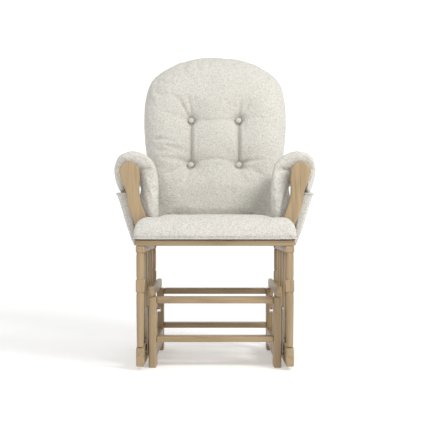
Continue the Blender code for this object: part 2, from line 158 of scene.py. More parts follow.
FLOOR_HALF, SWEEP_START, SWEEP_RADIUS, WALL_HIGH, SWEEP_STEPS = 6.0, 2.2, 1.2, 3.4, 12

sweep = [(-FLOOR_HALF, 0.0), (SWEEP_START, 0.0)]
for step in range(1, SWEEP_STEPS + 1):
    turn = math.pi / 2 * step / SWEEP_STEPS
    sweep += [(SWEEP_START + SWEEP_RADIUS * math.sin(turn), SWEEP_RADIUS * (1 - math.cos(turn)))]
sweep += [(SWEEP_START + SWEEP_RADIUS, WALL_HIGH)]
floor_mesh = bpy.data.meshes.new("floor")
floor_mesh.from_pydata(
    [(side * FLOOR_HALF, y, z) for y, z in sweep for side in (-1, 1)],
    [],
    [(2 * i, 2 * i + 1, 2 * i + 3, 2 * i + 2) for i in range(len(sweep) - 1)],
)
floor_mesh.shade_smooth()
paper, shader, place = finish("backdrop_paper")
wire(shader, Base_Color=place.noise(2.0).blend((0.80, 0.80, 0.80), (0.82, 0.82, 0.82)), Roughness=0.9)
wire(shader, Emission_Color=(1.0, 0.995, 0.99, 1.0), Emission_Strength=0.31)
floor = bpy.data.objects.new("floor", floor_mesh)
floor_mesh.materials.append(paper)
bpy.context.scene.collection.objects.link(floor)

# ---------------------------------------------------------------------------
# Oak boards. Every flat board of the base, the seat and the back is planed oak with rounded arrises
# under a clear satin lacquer. The grain runs along each board's longest side.

OAK_PALE, OAK_MID = (0.385, 0.280, 0.160), (0.325, 0.232, 0.128)
OAK_DARK, OAK_PORE = (0.225, 0.152, 0.078), (0.13, 0.085, 0.042)
LEAN = math.radians(13)
stile_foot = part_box("back_stile_left")[0]
back_frame = Matrix.Translation((0, stile_foot.y, stile_foot.z)) @ Matrix.Rotation(-LEAN, 4, "X")
LEVEL = Matrix()


def oak(name, along, tone=1.0):
    """Oak whose grain runs along an axis, 0 to 2 for X to Z: broad figure, fine streaks and open pores."""
    material, shader, place = finish(name)
    fine = tuple(0.045 if axis == along else 1.0 for axis in range(3))
    broad = tuple(0.10 if axis == along else 1.0 for axis in range(3))
    dashes = tuple(0.025 if axis == along else 1.0 for axis in range(3))
    warp = place.noise(3.0, 2.0)
    figure = place.noise(16.0, 3.0, 0.55, broad)
    rings = figure.node("Math", {"operation": "SINE"}, {0: figure * 34.0 + warp * 6.0}).between(-1.0, 1.0)
    streaks = place.noise(95.0, 4.0, 0.62, fine)
    pores = place.noise(330.0, 2.0, 0.5, dashes).between(0.60, 0.72)
    base = rings.blend(tuple(c * tone for c in OAK_MID), tuple(c * tone for c in OAK_PALE))
    base = (streaks.between(0.52, 0.80) * 0.55).blend(base, tuple(c * tone for c in OAK_DARK))
    base = (pores * 0.45).blend(base, tuple(c * tone for c in OAK_PORE))
    grain = streaks * 0.5 + rings * 0.2 - pores * 0.8
    relief = grain.node("Bump", {}, {"Strength": 0.25, "Distance": 0.0006, "Height": grain})
    wire(shader, Base_Color=base, Roughness=streaks.between(0.3, 0.8) * 0.14 + 0.40, Normal=relief)
    wire(shader, Coat_Weight=0.12, Coat_Roughness=0.30)
    return material


GRAIN = [oak("oak_across", 0), oak("oak_fore_and_aft", 1), oak("oak_upright", 2)]


def add_piece(name, mesh, material, body, *nodes, slot):
    """A piece of the chair, riding on a body in place of the CAD nodes named."""
    piece = bpy.data.objects.new(name, mesh)
    mesh.materials.clear()
    mesh.materials.append(material)
    bpy.context.scene.collection.objects.link(piece)
    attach(piece, body)
    if nodes:
        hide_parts(*nodes)
    return piece


def rounded(mesh, width, segments=3):
    """Rounds the arrises of a closed mesh, and shades its flats flat and its rounds smooth."""
    made = bmesh.new()
    made.from_mesh(mesh)
    sharp = [edge for edge in made.edges if edge.calc_face_angle(0) > math.radians(40)]
    bmesh.ops.bevel(
        made, geom=sharp, offset=width, segments=segments, profile=0.5, affect="EDGES", clamp_overlap=True
    )
    made.to_mesh(mesh)
    made.free()
    mesh.shade_smooth()
    mesh.set_sharp_from_angle(angle=math.radians(32))
    return mesh


def board_mesh(name, low, high, round_over):
    """A squared board between two corners, with rounded arrises."""
    mesh = bpy.data.meshes.new(name)
    made = bmesh.new()
    bmesh.ops.create_cube(made, size=1.0)
    bmesh.ops.scale(made, vec=high - low, verts=made.verts)
    bmesh.ops.translate(made, vec=(low + high) / 2, verts=made.verts)
    made.to_mesh(mesh)
    made.free()
    return rounded(mesh, round_over)


def planed_board(node, body, slot, round_over=0.0035, lies_in=LEVEL):
    """A board with the size and place of a CAD node, squared up in the frame that it lies in."""
    points = [lies_in.inverted() @ v.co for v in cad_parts[node].data.vertices]
    low = Vector(map(min, *points))
    high = Vector(map(max, *points))
    mesh = board_mesh(node, low, high, round_over)
    mesh.transform(lies_in)
    size = high - low
    along = max(range(3), key=lambda axis: size[axis])
    return add_piece("oak_" + node, mesh, GRAIN[along], body, node, slot=slot)


SIDES = (("left", 1), ("right", -1))
ENDS = ("front", "rear")
for label, _ in SIDES:
    for end in ENDS:
        planed_board(f"base_{end}_post_{label}", "base", "base_oak", 0.004)
    planed_board(f"base_bottom_rail_{label}", "base", "base_oak")
    planed_board(f"base_top_rail_{label}", "base", "base_oak", 0.004)
    planed_board(f"seat_side_board_{label}", "seat", "seat_oak")
    planed_board(f"arm_rail_{label}", "seat", "arm_oak", 0.006)
    planed_board(f"back_stile_{label}", "seat", "back_oak", 0.005, back_frame)
for end in ENDS:
    for height in ("low", "high"):
        planed_board(f"base_cross_rail_{end}_{height}", "base", "base_oak")
for node in ("seat_front_rail", "seat_back_rail"):
    planed_board(node, "seat", "seat_oak", 0.004)
for number in (1, 2, 3):
    planed_board(f"seat_slat_{number}", "seat", "seat_oak", 0.003)
    planed_board(f"back_slat_{number}", "seat", "back_oak", 0.004, back_frame)
planed_board("back_lower_rail", "seat", "back_oak", 0.004, back_frame)

# ---------------------------------------------------------------------------
# Arm fronts: a shaped paddle of paler oak at the front of each arm, cut to its outline on a band saw
# and rounded over all the way round. It stands on the seat frame and carries the arm rail.


def sawn_board(name, outline, low, high, place_in, width, material, slot, *nodes):
    """An outline in a frame's XZ plane, sawn from a board that fills low to high along its Y."""
    mesh = bpy.data.meshes.new(name)
    made = bmesh.new()
    face = made.faces.new([made.verts.new((across, low, up)) for across, up in outline])
    grown = bmesh.ops.extrude_face_region(made, geom=[face])
    far_side = [v for v in grown["geom"] if isinstance(v, bmesh.types.BMVert)]
    bmesh.ops.translate(made, vec=(0, high - low, 0), verts=far_side)
    bmesh.ops.recalc_face_normals(made, faces=made.faces)
    made.to_mesh(mesh)
    made.free()
    rounded(mesh, width)
    mesh.transform(place_in)
    if place_in.determinant() < 0:
        mesh.flip_normals()
    return add_piece(name, mesh, material, "seat", *nodes, slot=slot)


def arc(centre, radius, start, end, steps):
    """Points on an arc, from the angle start to the angle end in degrees."""
    turns = (math.radians(start + (end - start) * step / steps) for step in range(steps + 1))
    return [(centre[0] + radius * math.cos(a), centre[1] + radius * math.sin(a)) for a in turns]


def smooth_line(points, steps=4):
    """A rounded line through a few given points, by Catmull-Rom interpolation."""
    ends = [points[0], *points, points[-1]]
    line = []
    for p in zip(ends, ends[1:], ends[2:], ends[3:]):
        for step in range(steps):
            t = step / steps
            blend = (-t + 2 * t**2 - t**3, 2 - 5 * t**2 + 3 * t**3, t + 4 * t**2 - 3 * t**3, -(t**2) + t**3)
            line.append(tuple(sum(w * q[axis] for w, q in zip(blend, p)) / 2 for axis in range(len(p[0]))))
    return line + [points[-1]]


FRONT_FOOT = (0.197, 0.232)
FRONT_CROWN, FRONT_CROWN_RADIUS = (0.2635, 0.605), 0.0309
FRONT_OUTER = [(0.2355, 0.412), (0.2466, 0.446), (0.2662, 0.495), (0.2723, 0.538), (0.2876, 0.581)]
FRONT_OUTER += [(0.2944, 0.605)]
FRONT_INNER = [(0.2326, 0.605), (0.2307, 0.581), (0.2325, 0.553), (0.2283, 0.5165), (0.2102, 0.4645)]
FRONT_INNER += [(0.1985, 0.412)]
FRONT_TONE = 1.06
for label, side in SIDES:
    name = f"arm_front_board_{label}"
    low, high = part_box(name)
    outline = [(FRONT_FOOT[1], low.z), *smooth_line(FRONT_OUTER, 5)]
    outline += arc(FRONT_CROWN, FRONT_CROWN_RADIUS, 0, 180, 18)[1:-1]
    outline += smooth_line(FRONT_INNER, 5) + [(FRONT_FOOT[0], low.z)]
    grain = oak(f"oak_arm_front_{label}", 2, FRONT_TONE)
    mirrored = Matrix.Scale(side, 4, (1, 0, 0))
    sawn_board("oak_" + name, outline, low.y, high.y, mirrored, 0.005, grain, "arm_oak", name)

# ---------------------------------------------------------------------------
# Crest: the arched top rail of the back, sawn from one oak board and jointed on to the two stiles. It
# lies in the leaning plane of the back.

CREST_HALF, CREST_LOW, CREST_SPRING, CREST_RISE = 0.232, 0.5603, 0.572, 0.068
CREST_DEPTH, CREST_STEPS = (0.002, 0.032), 40
turns = [math.pi * step / CREST_STEPS for step in range(CREST_STEPS + 1)]
outline = [(-CREST_HALF, CREST_LOW), (CREST_HALF, CREST_LOW)]
outline += [(CREST_HALF * math.cos(a), CREST_SPRING + CREST_RISE * math.sin(a)) for a in turns]
crest = ("back_oak", "back_crest_rail")
sawn_board("oak_back_crest_rail", outline, *CREST_DEPTH, back_frame, 0.006, GRAIN[0], *crest)

# ---------------------------------------------------------------------------
# Lower side rails: one oak rail low on each side of the swinging frame, with the upper corner of its
# front end sawn off. The legs and the side slats stand on it, and the lower bolts go through it.

RAIL_NOSE = 0.010
sideways = Matrix(((0, 1, 0, 0), (1, 0, 0, 0), (0, 0, 1, 0), (0, 0, 0, 1)))
for label, _ in SIDES:
    name = f"lower_side_rail_{label}"
    low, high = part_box(name)
    outline = [(low.y, low.z), (high.y, low.z), (high.y, high.z)]
    outline += [(low.y + RAIL_NOSE, high.z), (low.y, high.z - RAIL_NOSE)]
    sawn_board("oak_" + name, outline, low.x, high.x, sideways, 0.004, GRAIN[1], "seat_oak", name)

# ---------------------------------------------------------------------------
# Side slats: between the legs of each side, four thin upright slats stand on the lower side rail and
# are let into an oak rail under the seat.

SLATS, SLAT_WIDE, SLAT_THICK, SIDE_RAIL_HIGH = 4, 0.030, 0.012, 0.020
TENON, SLAT_ROUND = 0.001, 0.0025
for label, _ in SIDES:
    node = f"seat_side_rail_{label}"
    low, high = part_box(node)
    under = high.z - SIDE_RAIL_HIGH
    rail = board_mesh(node, Vector((low.x, low.y, under)), high, SLAT_ROUND)
    add_piece("oak_" + node, rail, GRAIN[1], "seat", node, slot="seat_oak")
    front_leg, rear_leg = (sum(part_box(f"{end}_leg_{label}"), Vector()) / 2 for end in ENDS)
    for number in range(1, SLATS + 1):
        middle = front_leg.lerp(rear_leg, number / (SLATS + 1))
        foot = Vector((middle.x - SLAT_THICK / 2, middle.y - SLAT_WIDE / 2, low.z))
        head = Vector((middle.x + SLAT_THICK / 2, middle.y + SLAT_WIDE / 2, under + TENON))
        slat = board_mesh("slat", foot, head, SLAT_ROUND)
        add_piece(f"oak_side_slat_{number}_{label}", slat, GRAIN[2], "seat", slot="seat_oak")

# ---------------------------------------------------------------------------
# Turned legs: each is one oak post, left square where the rails are jointed to it and turned round
# and slightly tapered between.

LEG_HALF, LEG_ARRIS = 0.01325, 0.003
LEG_BLOCKS = ((0.237, 0.275), (0.357, 0.377))
LEG_FOOT, LEG_ANKLE, LEG_WAIST, LEG_NECK, LEG_CORE = 0.0105, 0.0114, 0.0124, 0.0115, 0.0112
SHOULDER_LONG, NECK_LONG, IN_BLOCK = 0.012, 0.003, 0.002


def lathe(name, profile, steps=40):
    """A mesh turned about Z. The profile runs up its outer side as (radius, height), from axis to axis."""
    made = bmesh.new()
    turns = [2 * math.pi * step / steps for step in range(steps)]
    rings = []
    for radius, height in profile:
        around = [(radius * math.cos(a), radius * math.sin(a), height) for a in turns]
        ring = around if radius else [(0, 0, height)]
        rings.append([made.verts.new(point) for point in ring])
    for below, above in zip(rings, rings[1:]):
        for i in range(steps):
            j = (i + 1) % steps
            corners = [below[i % len(below)], below[j % len(below)]]
            corners += [above[j % len(above)], above[i % len(above)]]
            made.faces.new(list(dict.fromkeys(corners)))
    bmesh.ops.recalc_face_normals(made, faces=made.faces)
    mesh = bpy.data.meshes.new(name)
    made.to_mesh(mesh)
    made.free()
    mesh.shade_smooth()
    mesh.set_sharp_from_angle(angle=math.radians(35))
    return mesh


def settle(piece):
    """Turns what a piece's modifiers make of it into its mesh."""
    bpy.context.view_layer.update()
    mesh = bpy.data.meshes.new_from_object(piece.evaluated_get(bpy.context.evaluated_depsgraph_get()))
    piece.modifiers.clear()
    piece.data = mesh


def shoulder(block_end, way):
    """The turning beside the end of a square block: full, then narrowed to its neck, then inside it."""
    steps = ((LEG_WAIST, -SHOULDER_LONG), (LEG_NECK, -NECK_LONG), (LEG_CORE, IN_BLOCK))
    return [(radius, block_end + way * past) for radius, past in steps]


for label, _ in SIDES:
    for end in ENDS:
        name = f"{end}_leg_{label}"
        low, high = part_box(name)
        (block_low, block_high), (head_low, head_high) = LEG_BLOCKS
        taper = [(LEG_FOOT, low.z + 0.004), (LEG_ANKLE, low.z + 0.06), (LEG_WAIST, block_low - 0.03)]
        profile = [(0, low.z), (LEG_FOOT - 0.001, low.z), (LEG_FOOT, low.z + 0.001), *smooth_line(taper, 6)]
        profile += shoulder(block_low, 1) + shoulder(block_high, -1)[::-1] + shoulder(head_low, 1)
        profile += [(LEG_CORE, head_high - IN_BLOCK), (0, head_high - IN_BLOCK)]
        leg = add_piece("oak_" + name, lathe(name, profile), GRAIN[2], "seat", name, slot="seat_oak")
        middle = (low + high) / 2
        leg.data.transform(Matrix.Translation((middle.x, middle.y, 0)))
        for bottom, top in LEG_BLOCKS:
            foot = Vector((middle.x - LEG_HALF, middle.y - LEG_HALF, bottom))
            head = Vector((middle.x + LEG_HALF, middle.y + LEG_HALF, top))
            block = board_mesh("block", foot, head, LEG_ARRIS)
            block.materials.append(GRAIN[2])
            helper = bpy.data.objects.new("block", block)
            bpy.context.scene.collection.objects.link(helper)
            union = leg.modifiers.new("joined", "BOOLEAN")
            union.operation, union.object, union.solver = "UNION", helper, "EXACT"
            settle(leg)
            bpy.data.objects.remove(helper, do_unlink=True)
        leg.data.shade_smooth()
        leg.data.set_sharp_from_angle(angle=math.radians(35))

# ---------------------------------------------------------------------------
# Swing gear: four flat zinc-plated steel straps, waisted between the eyes that are pressed in at both
# ends, on chromed bolts with domed heads.

LINK_X, LINK_THICK, EYE_RADIUS = 0.208, 0.004, 0.013
WAIST_HALF, WAIST_FROM = 0.0098, 0.020
RING_OUT, RING_HOLE, RING_RADIUS = 0.0012, 0.0046, 0.0085
BOLT_RADIUS, BOLT_CHAMFER = 0.0039, 0.0006
HEAD_RADIUS, HEAD_LONG, CAP_RISE = 0.0065, 0.012, 0.005
LOW_HEAD_LONG, LOW_HEAD_EDGE = 0.0036, 0.0008
SOCKET_RADIUS, SOCKET_DEEP = 0.0020, 0.0016
FLANGE = ((0, 0.003), (0.0022, 0.0022), (0.0026, 0.0004))  # (out past the head, back from the wood)

zinc, shader, place = finish("zinc_plated_steel")
scratches = place.noise(420.0, 3.0, 0.6, (1, 1, 0.04))
spangle = place.noise(60.0, 2.0)
wire(shader, Metallic=1.0, Base_Color=spangle.blend((0.34, 0.34, 0.33), (0.46, 0.46, 0.45)))
wire(shader, Roughness=scratches * 0.20 + 0.30)
wire(shader, Normal=place.node("Bump", {}, {"Strength": 0.12, "Distance": 0.0003, "Height": scratches}))

chrome, shader, place = finish("polished_chrome")
wire(shader, Metallic=1.0, Base_Color=place.noise(40.0).blend((0.78, 0.79, 0.80), (0.84, 0.85, 0.86)))
wire(shader, Roughness=place.noise(180.0, 3.0).between(0.2, 0.9) * 0.08 + 0.07)


def laid_across(mesh, side, at):
    """Lays a mesh turned about Z along X, its top outwards, with Z = 0 at X = 0."""
    mesh.transform(Matrix.Translation(at) @ Matrix.Rotation(side * math.pi / 2, 4, "Y"))
    return mesh


def joined(name, meshes):
    """Several meshes as one."""
    made = bmesh.new()
    for mesh in meshes:
        made.from_mesh(mesh)
    whole = bpy.data.meshes.new(name)
    made.to_mesh(whole)
    made.free()
    return whole


def washer(inner_x, outer_x, hole, rim):
    """The closed profile of a washer with eased edges."""
    edge = 0.0004
    inner_face = [(hole, inner_x), (rim - edge, inner_x), (rim, inner_x + edge)]
    return inner_face + [(rim, outer_x - edge), (rim - edge, outer_x), (hole, outer_x)]


def ring_mesh(name, profile, steps=40):
    """A closed profile turned about Z into a ring."""
    made = bmesh.new()
    loops = []
    for step in range(steps):
        a = 2 * math.pi * step / steps
        loops.append([made.verts.new((r * math.cos(a), r * math.sin(a), h)) for r, h in profile])
    count = len(profile)
    for i in range(steps):
        here, there = loops[i], loops[(i + 1) % steps]
        for k in range(count):
            made.faces.new([here[k], there[k], there[(k + 1) % count], here[(k + 1) % count]])
    bmesh.ops.recalc_face_normals(made, faces=made.faces)
    mesh = bpy.data.meshes.new(name)
    made.to_mesh(mesh)
    made.free()
    mesh.shade_smooth()
    mesh.set_sharp_from_angle(angle=math.radians(35))
    return mesh


def dome(radius, rise, angles):
    """The profile of a dome, as (radius, height) at angles in degrees up from its rim."""
    return [(radius * math.cos(math.radians(a)), rise * math.sin(math.radians(a))) for a in angles]


def strip_across(outline, inner, outer, side, pivot_y, round_over):
    """An outline of (Y from the pivot, Z) cut from a plate that fills inner to outer along X."""
    mesh = bpy.data.meshes.new("plate")
    made = bmesh.new()
    face = made.faces.new([made.verts.new((inner * side, pivot_y + y, z)) for y, z in outline])
    grown = bmesh.ops.extrude_face_region(made, geom=[face])
    rim = [v for v in grown["geom"] if isinstance(v, bmesh.types.BMVert)]
    bmesh.ops.translate(made, vec=((outer - inner) * side, 0, 0), verts=rim)
    bmesh.ops.recalc_face_normals(made, faces=made.faces)
    made.to_mesh(mesh)
    made.free()
    return rounded(mesh, round_over, 2)


for label, side in SIDES:
    for end in ENDS:
        name = f"{end}_{label}"
        low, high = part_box("link_" + name)
        pivot_y, top_z, low_z = (low.y + high.y) / 2, high.z - EYE_RADIUS, low.z + EYE_RADIUS
        upper_eye = arc((0, top_z), EYE_RADIUS, 0, 180, 20)
        lower_eye = arc((0, low_z), EYE_RADIUS, 180, 360, 20)
        waist = [(-WAIST_HALF, top_z - WAIST_FROM), (-WAIST_HALF, low_z + WAIST_FROM)]
        outline = upper_eye + waist + lower_eye + [(-y, z) for y, z in reversed(waist)]
        strap = strip_across(outline, LINK_X, LINK_X + LINK_THICK, side, pivot_y, 0.0007)
        ring = washer(LINK_X - RING_OUT, LINK_X + LINK_THICK + RING_OUT, RING_HOLE, RING_RADIUS)
        eyes = [laid_across(ring_mesh("eye", ring), side, (0, pivot_y, z)) for z in (top_z, low_z)]
        steel = joined("strap", [strap, *eyes])
        steel.shade_smooth()
        steel.set_sharp_from_angle(angle=math.radians(35))
        add_piece("strap_" + name, steel, zinc, "link_" + name, "link_" + name, slot="link_steel")

        # The upper bolt is held in the base's post, with a flanged cap nut on the inside.
        low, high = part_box("upper_pin_" + name)
        inner, outer = sorted((abs(low.x), abs(high.x)))
        seat_at = inner + HEAD_LONG
        cap = dome(HEAD_RADIUS, CAP_RISE, range(80, -1, -10))
        profile = [(0, inner)] + [(radius, inner + CAP_RISE - up) for radius, up in cap]
        profile += [(HEAD_RADIUS + out, seat_at - back) for out, back in FLANGE]
        profile += [(BOLT_RADIUS, seat_at), (BOLT_RADIUS, outer - BOLT_CHAMFER)]
        profile += [(BOLT_RADIUS - BOLT_CHAMFER, outer), (0, outer)]
        bolt = laid_across(lathe("bolt", profile, 32), side, (0, pivot_y, top_z))
        add_piece("bolt_upper_" + name, bolt, chrome, "base", "upper_pin_" + name, slot="chrome")

        # The lower bolt is held in the side rail, with a low domed socket head on the outside.
        low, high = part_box("lower_pin_" + name)
        inner, outer = sorted((abs(low.x), abs(high.x)))
        under_head = outer - LOW_HEAD_LONG
        head = dome(HEAD_RADIUS, LOW_HEAD_LONG - LOW_HEAD_EDGE, range(0, 81, 10))
        profile = [(0, inner), (BOLT_RADIUS - BOLT_CHAMFER, inner), (BOLT_RADIUS, inner + BOLT_CHAMFER)]
        profile += [(BOLT_RADIUS, under_head), (HEAD_RADIUS, under_head)]
        profile += [(radius, under_head + LOW_HEAD_EDGE + up) for radius, up in head]
        profile += [(SOCKET_RADIUS + 0.0002, outer - 0.0006), (SOCKET_RADIUS, outer - SOCKET_DEEP)]
        profile += [(0, outer - SOCKET_DEEP)]
        bolt = laid_across(lathe("bolt", profile, 32), side, (0, pivot_y, low_z))
        add_piece("bolt_lower_" + name, bolt, chrome, "seat", "lower_pin_" + name, slot="chrome")

# ---------------------------------------------------------------------------
# Back cushion: one arched, deeply filled pad, tied through to the back at four buttons. The ties pull
# deep creases between the buttons and fan folds out from them. Its cover, and every other one here, is
# boucle: thick looped yarn in warm off-white, with no shine and painted shade in the gaps between loops.

# The third colour is painted shade, the dark that falls in the gaps between the yarn's loops.
YARN_LIGHT, YARN_MID, YARN_GAP_SHADE = (0.73, 0.712, 0.665), (0.63, 0.612, 0.56), (0.40, 0.382, 0.335)


def boucle(name, coarse=1.0):
    """Looped yarn: round loops with painted shade between them, gathered in clumps, over slow changes of
    tone.
    """
    material, shader, place = finish(name)
    stray = {0: place.noise(190.0, 2.0), 1: (0.006, 0.006, 0.006), 2: place}
    bent = place.node("VectorMath", {"operation": "MULTIPLY_ADD"}, stray)
    spacing = {"Vector": bent, "Scale": 250.0 / coarse, "Smoothness": 0.35}
    loops = bent.node("TexVoronoi", {"feature": "SMOOTH_F1"}, spacing)
    curls = place.noise(520.0, 3.0, 0.6)
    clumps = place.noise(115.0, 3.0, 0.6)
    patches = place.noise(9.0, 2.0)
    # The dark between the loops is painted shade for the recesses, which the bump below also sinks.
    gap_shade = (loops.between(0.34, 0.70) + clumps.between(0.56, 0.74) * 0.6).between(0.0, 1.2)
    base = (clumps.between(0.35, 0.65) * 0.7 + patches * 0.3).blend(YARN_MID, YARN_LIGHT)
    base = (gap_shade * 0.60).blend(base, YARN_GAP_SHADE)
    height = curls * 0.35 + clumps * 0.9 - loops * 1.1
    relief = height.node("Bump", {}, {"Strength": 0.6, "Distance": 0.0018, "Height": height})
    wire(shader, Base_Color=base, Roughness=curls * 0.08 + 0.90, Normal=relief)
    wire(shader, Sheen_Weight=0.25, Sheen_Roughness=0.6, Specular_IOR_Level=0.15)
    return material


cushion_boucle = boucle("cushion_boucle")


def inset(outline, by):
    """A closed outline drawn in by a distance along its corners' bisectors."""
    count = len(outline)
    drawn = []
    for i in range(count):
        before, here, after = (Vector(outline[(i + k) % count]) for k in (-1, 0, 1))
        first, second = (here - before).normalized(), (after - here).normalized()
        normal = Vector((-(first.y + second.y), first.x + second.x)).normalized()
        stretch = 1 / max(0.5, normal.dot(Vector((-first.y, first.x))))
        drawn.append(tuple(here + normal * by * stretch))
    return drawn


def sewn_body(name, outline, profile, place_in, voxel=0.005):
    """A closed stuffed shape: an anticlockwise outline lofted through (inset, height), remeshed evenly."""
    made = bmesh.new()
    rings = []
    for by, height in profile:
        rings.append([made.verts.new((across, along, height)) for across, along in inset(outline, by)])
    for below, above in zip(rings, rings[1:]):
        for i in range(len(outline)):
            j = (i + 1) % len(outline)
            made.faces.new([below[i], below[j], above[j], above[i]])
    made.faces.new(rings[0][::-1])
    made.faces.new(rings[-1])
    bmesh.ops.triangulate(made, faces=[face for face in made.faces if len(face.verts) > 4])
    bmesh.ops.recalc_face_normals(made, faces=made.faces)
    mesh = bpy.data.meshes.new(name)
    made.to_mesh(mesh)
    made.free()
    mesh.transform(place_in)
    if place_in.determinant() < 0:
        mesh.flip_normals()
    holder = bpy.data.objects.new(name, mesh)
    bpy.context.scene.collection.objects.link(holder)
    remesh = holder.modifiers.new("even", "REMESH")
    remesh.mode, remesh.voxel_size = "VOXEL", voxel
    even = holder.modifiers.new("soften", "SMOOTH")
    even.factor, even.iterations = 0.5, 6
    settle(holder)
    mesh = holder.data
    bpy.data.objects.remove(holder, do_unlink=True)
    return mesh


def moved(mesh, shift):
    """Moves every point of a mesh by what shift says for its place and normal."""
    normals = [v.normal.copy() for v in mesh.vertices]
    for vertex, normal in zip(mesh.vertices, normals):
        vertex.co += shift(vertex.co.copy(), normal)
    mesh.update()


def stuff(piece, pressure, cap, held, frames=20):
    """Fills the cover: a short cloth run under pressure, with no point allowed further than cap."""
    start = np.array([v.co for v in piece.data.vertices])
    group = piece.vertex_groups.new(name="held")
    for index, weight in enumerate(held):
        if weight > 0:
            group.add([index], weight, "REPLACE")
    cover = piece.modifiers.new("cover", "CLOTH")
    cover.settings.quality = 4
    cover.settings.mass = 0.25
    cover.settings.tension_stiffness = cover.settings.compression_stiffness = 12
    cover.settings.shear_stiffness = 6
    cover.settings.bending_stiffness = 0.4
    cover.settings.use_pressure = True
    cover.settings.uniform_pressure_force = pressure
    cover.settings.effector_weights.gravity = 0
    cover.collision_settings.use_collision = False
    cover.collision_settings.use_self_collision = False
    cover.settings.vertex_group_mass = "held"
    scene = bpy.context.scene
    cover.point_cache.frame_start, cover.point_cache.frame_end = 1, frames
    for step in range(1, frames + 1):
        scene.frame_set(step)
    filled = piece.evaluated_get(bpy.context.evaluated_depsgraph_get()).to_mesh()
    end = np.array([v.co for v in filled.vertices])
    travel = end - start
    reach = np.linalg.norm(travel, axis=1, keepdims=True)
    end = start + travel * np.minimum(1.0, cap / np.maximum(reach, 1e-9))
    piece.modifiers.remove(cover)
    piece.vertex_groups.clear()
    for vertex, point in zip(piece.data.vertices, end):
        vertex.co = point
    scene.frame_set(1)


def finish_cover(piece, nub=0.0007):
    """One subdivision, and the small uneven lumps of the yarn as real relief."""
    finer = piece.modifiers.new("finer", "SUBSURF")
    finer.levels = finer.render_levels = 1
    settle(piece)

    def nubs(co, normal):
        return normal * nub * (noise.noise(co * 170) + 0.6 * noise.noise(co * 320))

    moved(piece.data, nubs)
    piece.data.shade_smooth()


def bump(distance, width):
    """How strong a dent of this width is at a distance from its middle, from 1 down to 0."""
    return math.exp(-((distance / width) ** 2))


def near_line(point, start, end):
    """(distance from a line, how far along it from 0 to 1) of a point in a plane."""
    line = end - start
    t = max(0.0, min(1.0, (point - start).dot(line) / line.length_squared))
    return (point - start - line * t).length, t


ARCH = [(0.226, 0.018), (0.234, 0.120), (0.239, 0.235), (0.253, 0.318), (0.262, 0.419), (0.2590, 0.511)]
ARCH += [(0.2355, 0.589), (0.159, 0.650), (0.080, 0.676), (0.0, 0.683)]
arch = smooth_line([(-x, h) for x, h in ARCH[:-1]] + ARCH[::-1], 5)[::-1]
BACK_PROFILE = [(0.045, 0.004), (0.016, 0.006), (0.004, 0.018), (0.0, 0.040)]
BACK_PROFILE += [(0.004, 0.058), (0.016, 0.076), (0.045, 0.090)]
upright = back_frame @ Matrix(((1, 0, 0, 0), (0, 0, -1, 0), (0, 1, 0, 0), (0, 0, 0, 1)))
to_cushion = upright.inverted()
cushion_mesh = sewn_body("back_cushion", arch, BACK_PROFILE, upright)

button_at = {}
for row in ("lower", "upper"):
    for label, side in SIDES:
        low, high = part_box(f"button_{row}_{label}")
        middle = to_cushion @ ((low + high) / 2)
        button_at[row, side] = Vector((middle.x, middle.y))

TUFT_DEEP, PUCKER_DEEP = 0.020, 0.011

# The soft folds that fan out from each button: (how far across and up they reach, depth).
FANS = {
    ("upper", -1): (((-0.050, 0.085), 0.0060), ((-0.012, 0.105), 0.0050), ((-0.095, 0.020), 0.0040)),
    ("upper", 1): (((0.008, 0.095), 0.0060), ((0.046, 0.078), 0.0055), ((0.100, 0.012), 0.0035)),
    ("lower", -1): (((-0.100, -0.045), 0.0060), ((-0.030, -0.105), 0.0050), ((-0.105, 0.020), 0.0050)),
    ("lower", 1): (((0.095, -0.050), 0.0055), ((0.028, -0.100), 0.0050), ((0.085, 0.030), 0.0040)),
}


def tufting(co, normal):
    """How far the ties and their folds draw the front of the cushion in, and how it swells between them."""
    local = to_cushion @ co
    front = max(0.0, min(1.0, (local.z - 0.045) / 0.030))
    if front == 0:
        return Vector((0, 0, 0))
    point = Vector((local.x, local.y))
    deep = 0.0
    for place_at in button_at.values():
        far = (point - place_at).length
        deep += TUFT_DEEP * bump(far, 0.017) + PUCKER_DEEP * bump(far, 0.048)
    for side in (-1, 1):
        start, end = button_at["lower", side], button_at["upper", side]
        far, t = near_line(point, start, end)
        waver = 0.004 * math.sin(t * math.pi)
        deep += 0.0115 * bump(far + waver * 0.2, 0.0065) + 0.0075 * bump(far, 0.026)
    upper_l, upper_r = button_at["upper", -1], button_at["upper", 1]
    across = (point.x - upper_l.x) / (upper_r.x - upper_l.x)
    if -0.15 < across < 1.15:
        fade = max(0.0, math.sin(math.pi * min(1, max(0, (across + 0.15) / 1.3))))
        bow_up = upper_l.y - 0.006 * math.sin(math.pi * across)
        bow_low = button_at["lower", -1].y + 0.016 * math.sin(math.pi * max(0, min(1, across)))
        strength = fade * (0.35 + 0.65 * abs(2 * across - 1))
        above, below = point.y - bow_up, point.y - bow_low
        deep += strength * (0.0050 * bump(above, 0.008) + 0.0030 * bump(above, 0.026))
        deep += strength * (0.0045 * bump(below, 0.008) + 0.0038 * bump(below, 0.028))
    for button, folds in FANS.items():
        for reach, depth in folds:
            far, t = near_line(point, button_at[button], button_at[button] + Vector(reach))
            deep += depth * (1 - t) ** 0.8 * bump(far, 0.005 + 0.010 * t)
    rim = min(1.0, max(0.0, 1 - (point - Vector((0, 0.37))).length / 0.33))
    crown = 0.016 * rim**0.5
    slow = noise.noise(Vector((local.x * 14, local.y * 14, 3.1))) * 0.0022
    fine = noise.noise(Vector((local.x * 38, local.y * 30, 7.7))) * 0.0010
    return upright.to_3x3() @ Vector((0, 0, front * (crown - deep + slow + fine)))


moved(cushion_mesh, tufting)
back_cushion = add_piece(
    "back_cushion_cover", cushion_mesh, cushion_boucle, "seat", "back_cushion", slot="cushion_boucle"
)


